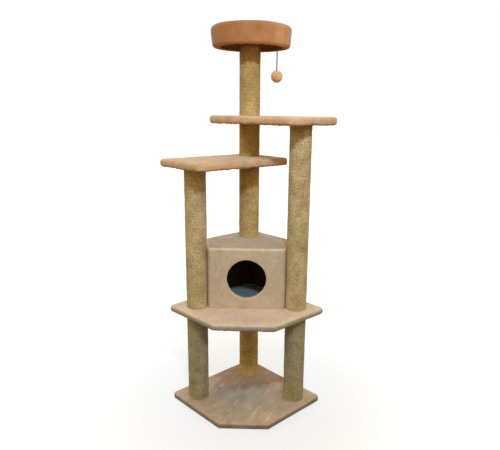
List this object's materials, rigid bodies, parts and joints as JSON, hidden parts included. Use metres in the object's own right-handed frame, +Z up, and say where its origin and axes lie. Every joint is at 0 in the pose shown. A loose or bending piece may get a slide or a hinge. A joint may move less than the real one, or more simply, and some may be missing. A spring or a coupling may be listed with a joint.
{
  "type": "cat tree",
  "caption": "Tall corner cat tree with carpeted base and shelves, sisal-wound posts, a condo with a round entrance, a round perch bed and a hanging ball toy.",
  "frame": {"origin": "on the floor, under the middle of the bounding box", "axes": "+Z up, +X to the right seen from the front, +Y back towards the corner of the room"},
  "size_m": [0.807, 0.6626, 1.84],
  "materials": {
    "carpet_plush": "soft cut-pile plush, matt",
    "perch_fabric": "short brushed plush, matt",
    "dark_cloth": "thin non-woven cloth, matt",
    "mat_felt": "short felt, matt",
    "sisal_rope": "twisted natural fibre, rough",
    "cardboard": "spiral-wound board, matt",
    "chipboard": "raw chipboard, matt",
    "softwood": "sawn softwood, matt",
    "foam": "open-cell foam, matt",
    "zinc_steel": "zinc plated",
    "dark_elastic": "round braided elastic, satin",
    "toy_plush": "fluffy plush, matt"
  },
  "bodies": {
    "root": {"base_carpet": "carpet_plush", "mid_carpet": "carpet_plush", "left_shelf_carpet": "carpet_plush", "right_shelf_carpet": "carpet_plush", "condo_carpet": "carpet_plush", "perch_cover": "perch_fabric", "perch_pad": "perch_fabric", "perch_underside_cloth": "dark_cloth", "condo_floor_mat": "mat_felt", "left_lower_sisal": "sisal_rope", "right_lower_sisal": "sisal_rope", "back_lower_sisal": "sisal_rope", "left_upper_sisal": "sisal_rope", "right_upper_sisal": "sisal_rope", "back_mid_sisal": "sisal_rope", "back_upper_sisal": "sisal_rope", "back_top_sisal": "sisal_rope", "left_lower_tube": "cardboard", "right_lower_tube": "cardboard", "back_lower_tube": "cardboard", "left_upper_tube": "cardboard", "right_upper_tube": "cardboard", "back_mid_tube": "cardboard", "back_upper_tube": "cardboard", "back_top_tube": "cardboard", "base_board": "chipboard", "mid_board": "chipboard", "left_shelf_board": "chipboard", "right_shelf_board": "chipboard", "perch_board": "chipboard", "condo_roof_panel": "chipboard", "condo_front_panel": "chipboard", "condo_right_side_panel": "chipboard", "condo_back_right_panel": "chipboard", "condo_back_left_panel": "chipboard", "condo_left_side_panel": "chipboard", "post_end_plugs": "softwood", "condo_corner_battens": "softwood", "perch_rim_core": "foam", "threaded_inserts": "zinc_steel", "base_bolts": "zinc_steel", "base_bolt_washers": "zinc_steel", "board_bolts": "zinc_steel", "board_bolt_washers": "zinc_steel", "joining_studs": "zinc_steel", "condo_screws": "zinc_steel", "condo_floor_screws": "zinc_steel", "base_staples": "zinc_steel", "board_staples": "zinc_steel", "perch_staples": "zinc_steel", "toy_staple": "zinc_steel"},
    "toy_loop": {"toy_knot": "dark_elastic"},
    "toy": {"toy_cord": "dark_elastic", "toy_ball": "toy_plush"}
  },
  "joints": [
    {"name": "toy_swing_aside", "type": "hinge", "parent": "root", "child": "toy_loop", "pos_m": [0.129, 0.04275, 1.741], "axis": [0.7993, -0.601, 0], "range_deg": [-50, 50]},
    {"name": "toy_swing_out", "type": "hinge", "parent": "toy_loop", "child": "toy", "pos_m": [0.129, 0.04275, 1.7344], "axis": [-0.601, -0.7993, 0], "range_deg": [-30, 60]}
  ]
}
